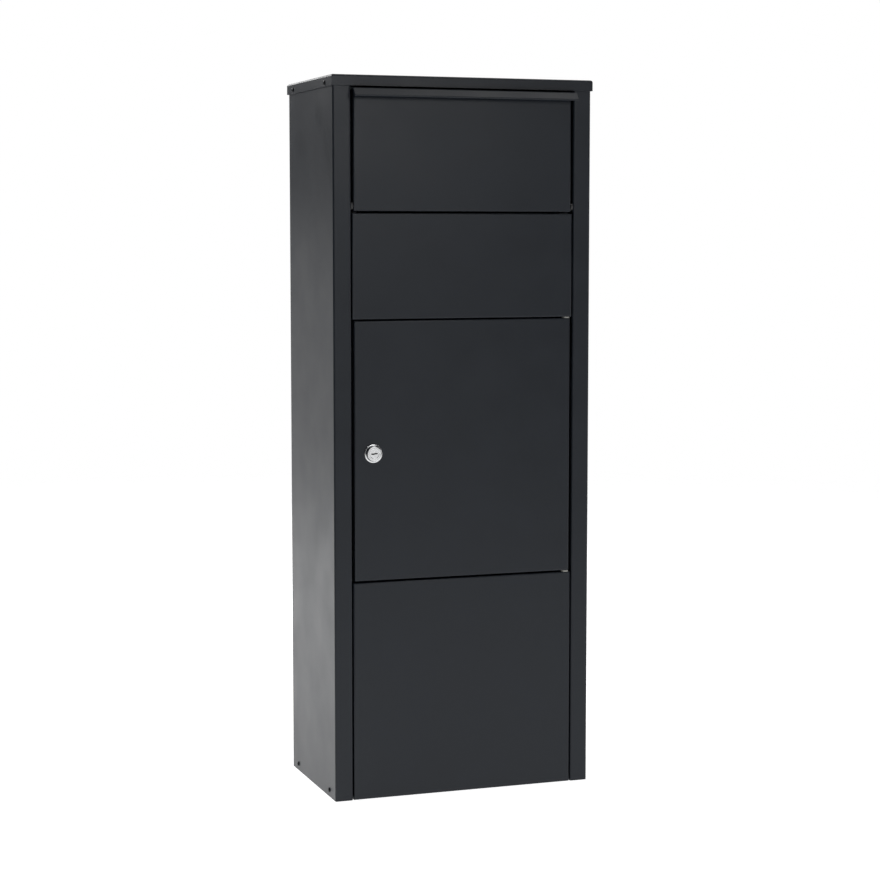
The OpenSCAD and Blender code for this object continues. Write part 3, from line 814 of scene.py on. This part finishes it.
@dataclass
class Fixings:
    """Every screw and rivet of the cabinet and the drawer."""

    shop: Workshop
    screw_head_h: float = 1.8
    rivet_head_h: float = 1.0
    grip_screw_head_h: float = 2.0
    shank_r: float = 1.6
    cross_l: float = 3.0
    cross_w: float = 0.75
    steps: int = 24
    crease: float = 35
    # Radius and height of each ring of a head, from its flat top down, as shares of the head's own.
    rings: tuple[tuple[float, float], ...] = ((0.62, 1), (0.8, 0.9), (0.93, 0.62), (1, 0.25), (1, 0))
    # A mandrel hole's radius as a share of the head's, and a recess's depth as a share of its height.
    mandrel_share: float = 0.3
    recess_share: float = 0.55

    def build(self) -> None:
        """Set every group of fasteners in its holes."""
        for name in ("cover_screws", "base_screws"):
            self.group(name, Body.CABINET, Slot.BLACK, X_AXIS, self.screw_head_h, both_hands=True)
        self.group("back_panel_rivets", Body.CABINET, Slot.ZINC, Y_AXIS, self.rivet_head_h)
        self.group("front_panel_rivets", Body.CABINET, Slot.ZINC, Y_AXIS, self.rivet_head_h)
        self.group("floor_rivets", Body.CABINET, Slot.ZINC, Z_AXIS, self.rivet_head_h)
        self.group("drawer_rivets", Body.DRAWER, Slot.ZINC, X_AXIS, self.rivet_head_h, both_hands=True)
        self.group("grip_screws", Body.DRAWER, Slot.ZINC, -Z_AXIS, self.grip_screw_head_h)

    def cross(self) -> list[tuple[float, float]]:
        """Draw a cross recess.

        Returns:
            The corners of its outline.
        """
        a, b = self.cross_l / 2, self.cross_w / 2
        arm = [(a, -b), (a, b), (b, b)]
        points = []
        for quarter in range(4):
            turn = Matrix.Rotation(quarter * math.pi / 2, 2)
            points.extend(tuple(turn @ Vector(p)) for p in arm)
        return points

    def head(self, radius: float, height: float, length: float, screw: bool) -> BMesh:
        """Make one fastener, its head standing on Z = 0.

        Args:
            radius: the head's radius.
            height: the head's height.
            length: the shank's length under the head.
            screw: whether it has a cross recess; otherwise it has a blind rivet's mandrel hole.

        Returns:
            The fastener.
        """
        stages = [(radius * wide, height * high) for wide, high in self.rings]
        stages += [(self.shank_r, 0.0), (self.shank_r, -length)]
        recess = self.cross() if screw else radius * self.mandrel_share
        return button(self.steps, stages, recess, height * self.recess_share)

    def group(
        self, name: str, body: Body, slot: Slot, out: Vector, height: float, both_hands: bool = False
    ) -> None:
        """Make a group of fasteners, one for each solid of its CAD node.

        Args:
            name: the CAD node.
            body: the body that they ride on.
            slot: the material slot of their finish.
            out: the way that the heads look.
            height: the height of a head.
            both_hands: whether the heads on the left-hand side look the other way.
        """
        shape = bmesh.new()
        screw = slot is Slot.BLACK or name == "grip_screws"
        for low, high in solids_of(name):
            middle = (low + high) / 2
            way = -out if both_hands and middle.x < 0 else out
            along = max(range(3), key=lambda i: abs(way[i]))
            across = (along + 1) % 3
            size = high - low
            top = high[along] if way[along] > 0 else low[along]
            seat = middle.copy()
            seat[along] = top - way[along] * height
            fastener = self.head(size[across] / 2, height, size[along] - height, screw)
            add_mesh(shape, placed(fastener, seat, way))
        self.shop.piece(name, shape, body, slot, self.crease)


@dataclass
class ParcelDrawer:
    """The tip-out parcel drawer: front, grip, cheeks, tray and pins."""

    shop: Workshop
    sheet: float = 1.5
    panel_bend_r: float = 2.0
    grip_sheet: float = 1.3
    grip_out: float = 11.4
    grip_drop: float = 9.0
    grip_nose_out: float = 20.0
    grip_back: float = 11.0
    hem_r: float = 1.5
    hem_run: float = 6.0
    hem_steps: int = 8
    notch_gap: float = 1.0
    notch_run: float = 0.05

    def build(self) -> None:
        """Build every piece of the drawer."""
        low, high = corners("drawer_front")
        front = Blank(self.sheet, self.panel_bend_r).pan(low, high, -Y_AXIS).close()
        self.shop.piece("drawer_front", front, Body.DRAWER, Slot.STEEL)
        self.grip(low, high)
        for node in ("drawer_left_cheek", "drawer_right_cheek", "drawer_tray"):
            self.shop.softened(node, Body.DRAWER, Slot.STEEL)
        black = self.shop.finishes.by_slot[Slot.BLACK]
        self.shop.softened("drawer_pivot_pins", Body.DRAWER, Slot.ZINC, finish=black)

    def grip(self, front_low: Vector, front_high: Vector) -> None:
        """Fold the grip: a flange on the drawer front, a slope, and a hemmed nose.

        Args:
            front_low: the drawer front's lowest corner.
            front_high: the drawer front's highest corner.
        """
        low, high = corners("drawer_grip")
        face_y = front_low.y
        start = Vector((low.x, face_y - self.grip_out, front_high.z + self.sheet / 2))
        reach = self.grip_nose_out - self.sheet - self.grip_out
        down = Vector((0, -reach, -self.grip_drop))
        along = down.normalized()
        outward = Vector((0, along.z, -along.y))
        top = high.z
        edge = start + outward * self.sheet / 2
        crease = edge - along * ((edge.z - top) / along.z)
        nose = edge + down
        blank = Blank(self.grip_sheet, self.panel_bend_r)
        rear = Vector((low.x, face_y + self.grip_back, top))
        verts = [blank.bm.verts.new(p) for p in (rear, crease, nose)]
        for pair in zip(verts, verts[1:]):
            blank.bm.edges.new(pair)
        curl = bmesh.ops.spin(
            blank.bm, geom=[verts[-1]], cent=nose - outward * self.hem_r, axis=X_AXIS, dvec=(0, 0, 0),
            angle=math.pi, steps=self.hem_steps, use_merge=False, use_normal_flip=False, use_duplicate=False,
        )
        last = next(g for g in curl["geom_last"] if isinstance(g, BMVert))
        end = blank.bm.verts.new(last.co - along * self.hem_run)
        blank.bm.edges.new((last, end))
        grown = bmesh.ops.extrude_edge_only(blank.bm, edges=blank.bm.edges[:])["geom"]
        bmesh.ops.translate(
            blank.bm, verts=[g for g in grown if isinstance(g, BMVert)], vec=X_AXIS * (high.x - low.x)
        )
        bmesh.ops.recalc_face_normals(blank.bm, faces=blank.bm.faces[:])
        flange = max(blank.bm.faces, key=lambda f: f.calc_center_median().y)
        if flange.normal.z < 0:
            bmesh.ops.reverse_faces(blank.bm, faces=blank.bm.faces[:])
        self.notch(blank.bm, face_y - self.notch_gap, front_high.x)
        blank.rounded()
        self.shop.piece("drawer_grip", blank.close(), Body.DRAWER, Slot.STEEL)

    def notch(self, bm: BMesh, y: float, half_width: float) -> None:
        """Narrow the flange behind y, so that it passes between the columns.

        Args:
            bm: the grip's sheet.
            y: where the flange becomes narrower.
            half_width: half of its width from there on.
        """
        for plane in (y, y + self.notch_run):
            geom = bm.verts[:] + bm.edges[:] + bm.faces[:]
            bmesh.ops.bisect_plane(bm, geom=geom, dist=FINE_WELD, plane_co=(0, plane, 0), plane_no=(0, 1, 0))
        for vert in bm.verts:
            if vert.co.y > y + self.notch_run / 2:
                vert.co.x = math.copysign(half_width, vert.co.x)


@dataclass
class Door:
    """The lockable door, with its hinge pins."""

    shop: Workshop
    sheet: float = 1.5
    panel_bend_r: float = 2.0
    lock_hole_r: float = 9.6

    def build(self) -> None:
        """Build the door and its pins."""
        low, high = corners("door_panel")
        lock_low, lock_high = corners("lock_housing")
        lock = (lock_low + lock_high) / 2
        blank = Blank(self.sheet, self.panel_bend_r).pan(low, high, -Y_AXIS)
        blank.pierced(-Y_AXIS, Vector((lock.x, low.y, lock.z)), self.lock_hole_r)
        self.shop.piece("door_panel", blank.close(), Body.DOOR, Slot.STEEL)
        self.shop.softened("door_hinge_pins", Body.DOOR, Slot.ZINC)


@dataclass
class CamLock:
    """The chrome cam lock: housing, nut, slotted rotor, spindle, cam and screw."""

    shop: Workshop
    steps: int = 64
    seat_r: float = 12.8
    seat_h: float = 1.5
    collar_r: float = 11.3
    face_r: float = 10.2
    edge_r: float = 0.4
    groove_r: float = 8.3
    groove_depth: float = 0.15
    proud: float = 6.0
    barrel_r: float = 9.5
    barrel_taper: float = 0.5
    bore_r: float = 6.55
    rotor_steps: int = 48
    rotor_crease: float = 30
    rotor_r: float = 6.5
    rotor_recess: float = 0.3
    rotor_l: float = 16.0
    rotor_edge_w: float = 0.2
    rotor_edge_h: float = 0.15
    slot_l: float = 9.2
    slot_w: float = 1.9
    slot_step: float = 0.5
    slot_floor: float = 1.5
    thread_start: float = 1.8
    thread_pitch: float = 1.0
    thread_depth: float = 0.45

    def build(self) -> None:
        """Build every piece of the lock."""
        low, high = corners("lock_housing")
        centre = Vector(((low.x + high.x) / 2, low.y + self.proud, (low.z + high.z) / 2))
        self.housing(centre, high.y - centre.y)
        self.rotor(centre)
        self.shop.softened("lock_nut", Body.DOOR, Slot.ZINC, radius=0.4)
        self.shop.softened("lock_spindle", Body.LOCK_CORE, Slot.CHROME)
        self.shop.softened("lock_cam", Body.LOCK_CORE, Slot.ZINC, radius=0.3)
        self.shop.softened("cam_screw", Body.LOCK_CORE, Slot.ZINC, radius=0.3)

    def housing(self, centre: Vector, barrel_l: float) -> None:
        """Turn the housing: a rimmed face, a tapered collar, a seat ring and a threaded barrel.

        Args:
            centre: the lock's axis at the door's face.
            barrel_l: length of the barrel behind the door's face.
        """
        out, groove, bed = self.proud, self.groove_r, self.proud - self.groove_depth
        profile = [
            (self.bore_r, out - 0.2), (self.bore_r + 0.15, out - 0.03), (self.bore_r + 0.3, out),
            (groove, out), (groove + 0.1, out - 0.05), (groove + 0.15, bed),
            (groove + 0.4, bed), (groove + 0.45, out - 0.05), (groove + 0.55, out),
        ]
        profile += self.rounded_edge(self.face_r, out)
        profile += [
            (self.collar_r, self.seat_h + 0.5), (self.collar_r + 0.2, self.seat_h + 0.12),
            (self.collar_r + 0.45, self.seat_h),
        ]
        profile += self.rounded_edge(self.seat_r, self.seat_h)
        profile += [(self.seat_r, 0.0), (self.barrel_r, 0.0)]
        profile += self.thread(barrel_l)
        profile += [(self.barrel_r - self.barrel_taper, -barrel_l), (self.bore_r, -barrel_l)]
        shape = placed(turned(profile, self.steps), centre, -Y_AXIS)
        self.shop.piece("lock_housing", shape, Body.DOOR, Slot.CHROME, CREASE_TURN)

    def rounded_edge(self, radius: float, height: float) -> list[tuple[float, float]]:
        """Round the outer edge of a turned face.

        Args:
            radius: the face's radius.
            height: the face's height.

        Returns:
            Radius and height of each corner, from the face outwards.
        """
        r = self.edge_r
        return [(radius - r, height), (radius - 0.25 * r, height - 0.3 * r), (radius, height - r)]

    def thread(self, barrel_l: float) -> list[tuple[float, float]]:
        """Draw the barrel's thread as a row of ridges.

        Args:
            barrel_l: length of the barrel.

        Returns:
            Radius and height of each corner.
        """
        points = []
        height = -self.thread_start
        while height > 1.5 * self.thread_pitch - barrel_l:
            points.append((self.barrel_r, height))
            points.append((self.barrel_r - self.thread_depth, height - self.thread_pitch / 2))
            height -= self.thread_pitch
        return points

    def rotor(self, centre: Vector) -> None:
        """Make the rotor's front part, with its stepped key slot.

        Args:
            centre: the lock's axis at the door's face.
        """
        half, w, step = self.slot_l / 2, self.slot_w / 2, self.slot_step / 2
        slot = [
            (-half, -step - w), (0, -step - w), (0, step - w), (half, step - w),
            (half, step + w), (0, step + w), (0, w - step), (-half, w - step),
        ]
        length = self.rotor_l
        stages = [
            (self.rotor_r - self.rotor_edge_w, length), (self.rotor_r, length - self.rotor_edge_h),
            (self.rotor_r, 0.0),
        ]
        shape = button(self.rotor_steps, stages, slot, length - self.slot_floor)
        # The faces of the slot lie near the axis and reach below the flat top; they take the material with
        # the slot's painted shade.
        reach, below = half * 1.1, length - 0.1
        for face in shape.faces:
            inside = max(math.hypot(v.co.x, v.co.y) for v in face.verts) < reach
            face.material_index = int(inside and min(v.co.z for v in face.verts) < below)
        seat = centre + Y_AXIS * (length - self.proud + self.rotor_recess)
        shape = placed(shape, seat, -Y_AXIS)
        rotor = self.shop.piece("lock_rotor", shape, Body.LOCK_CORE, Slot.CHROME, self.rotor_crease)
        # Second material: the key slot's painted shade.
        rotor.data.materials.append(self.shop.finishes.keyway_painted_shade)


@dataclass
class Studio:
    """A plain pale floor, soft light and the camera."""

    camera_place: tuple[float, float, float] = (-1027.9, -2926.8, 784.7)
    camera_turn: float = 19.41
    camera_dip: float = 5.44
    lens: float = 88.25
    floor_r: float = 4.2
    floor_steps: int = 96
    # The floor is whole within the first share of its radius, and gone at the second.
    fade_from: float = 0.5
    fade_to: float = 0.98
    mottle_mm: float = 400.0
    floor_glow: float = 0.82
    room_glow: float = 0.06

    def build(self) -> None:
        """Set the whole studio up."""
        self.camera()
        self.floor()
        self.world()
        self.lights()

    def camera(self) -> None:
        """Place the camera, a little above the middle of the locker and to its left."""
        data = bpy.data.cameras.new("camera")
        data.lens = self.lens
        data.sensor_width = 36.0
        data.clip_end = 60.0
        camera = bpy.data.objects.new("camera", data)
        camera.location = Vector(self.camera_place) * MM
        camera.rotation_euler = (math.radians(90 - self.camera_dip), 0, -math.radians(self.camera_turn))
        bpy.context.scene.collection.objects.link(camera)
        bpy.context.scene.camera = camera

    def floor(self) -> None:
        """Lay a pale disc whose rim fades into the background."""
        material, tree, place = new_material("pale_studio_floor")
        spot = {"Vector": place, "Scale": per_metre(self.mottle_mm), "Detail": 2.0}
        mottle = add_node(tree, "TexNoise", spot)
        mixing = {"Factor": mottle.outputs["Fac"], "A": linear("#e6e6e6"), "B": linear("#f0f0f0")}
        pale = add_node(tree, "Mix", mixing, data_type="RGBA").outputs["Result"]
        sockets = {"Base Color": pale, "Roughness": 0.7, "Emission Strength": self.floor_glow}
        shader = add_node(tree, "BsdfPrincipled", sockets | {"Emission Color": linear("#ffffff")})
        far = add_node(tree, "VectorMath", {0: place}, operation="LENGTH").outputs["Value"]
        span = {"From Min": self.floor_r * self.fade_from, "From Max": self.floor_r * self.fade_to}
        span |= {"Value": far}
        fade = add_node(tree, "MapRange", span, interpolation_type="SMOOTHSTEP").outputs["Result"]
        clear = add_node(tree, "BsdfTransparent", {}).outputs["BSDF"]
        mixed = add_node(tree, "MixShader", {0: fade, 1: shader.outputs["BSDF"], 2: clear})
        add_node(tree, "OutputMaterial", {"Surface": mixed.outputs["Shader"]})
        bm = bmesh.new()
        bmesh.ops.create_circle(bm, cap_ends=True, segments=self.floor_steps, radius=self.floor_r)
        mesh = bpy.data.meshes.new("floor")
        bm.to_mesh(mesh)
        bm.free()
        mesh.materials.append(material)
        floor = bpy.data.objects.new("floor", mesh)
        bpy.context.scene.collection.objects.link(floor)

    def world(self) -> None:
        """Fill the room with dim light, and show a white background to the camera."""
        world = bpy.data.worlds.new("studio")
        bpy.context.scene.world = world
        world.use_nodes = True
        tree = world.node_tree
        tree.nodes.clear()
        room = add_node(tree, "Background", {"Color": linear("#f2f4f8"), "Strength": self.room_glow})
        seen = add_node(tree, "Background", {"Color": linear("#ffffff"), "Strength": 1.0})
        to_camera = add_node(tree, "LightPath", {}).outputs["Is Camera Ray"]
        sides = {0: to_camera, 1: room.outputs["Background"], 2: seen.outputs["Background"]}
        mixed = add_node(tree, "MixShader", sides)
        add_node(tree, "OutputWorld", {"Surface": mixed.outputs["Shader"]})

    def lights(self) -> None:
        """Hang the soft boxes."""
        self.soft_box("top_box", (0.0, 0.4, 4.2), (0.0, 0.4, 0.0), (5.5, 5.5), 42.0)
        self.soft_box("edge_box", (1.15, -1.1, 3.9), (0.0, 0.0, 0.9), (2.0, 1.0), 15.0)
        self.soft_box("key_box", (0.5, -3.1, 1.45), (0.0, 0.0, 0.9), (1.0, 0.8), 15.5)
        self.soft_box("lock_card", (0.78, -3.0, 0.26), (-0.13, -0.11, 0.48), (0.55, 0.42), 0.85)
        self.soft_box("left_card", (-1.1, 2.6, 0.42), (-0.19, 0.0, 0.5), (2.6, 0.8), 4.4)
        self.soft_box("low_box", (-0.9, 1.6, 1.5), (-0.9, 1.6, 0.0), (1.6, 1.6), 30.0)
        self.soft_box("rear_box", (-1.6, 2.8, 2.2), (-0.19, 0.0, 0.8), (1.6, 1.2), 22.0)
        self.soft_box("right_card", (3.2, -0.6, 0.9), (0.19, 0.0, 0.5), (1.8, 1.4), 20.0)

    def soft_box(
        self, name: str, place: tuple[float, float, float], aim: tuple[float, float, float],
        size: tuple[float, float], watts: float,
    ) -> None:
        """Hang one soft box.

        Args:
            name: the light's name.
            place: where it hangs, in metres.
            aim: the point that it faces.
            size: its width and height, in metres.
            watts: its power.
        """
        data = bpy.data.lights.new(name, "AREA")
        data.shape = "RECTANGLE"
        data.size, data.size_y = size
        data.energy = watts
        light = bpy.data.objects.new(name, data)
        light.location = place
        light.visible_camera = False
        light.rotation_euler = (Vector(aim) - Vector(place)).to_track_quat("-Z", "Y").to_euler()
        bpy.context.scene.collection.objects.link(light)


def main() -> None:
    """Build the locker and its studio."""
    logging.basicConfig(level=logging.INFO, format="%(message)s")
    bpy.context.scene.view_settings.view_transform = "Standard"
    shop = Workshop(Finishes())
    Studio().build()
    Carcass(shop).build()
    Fixings(shop).build()
    ParcelDrawer(shop).build()
    Door(shop).build()
    CamLock(shop).build()


if __name__ == "__main__":
    main()
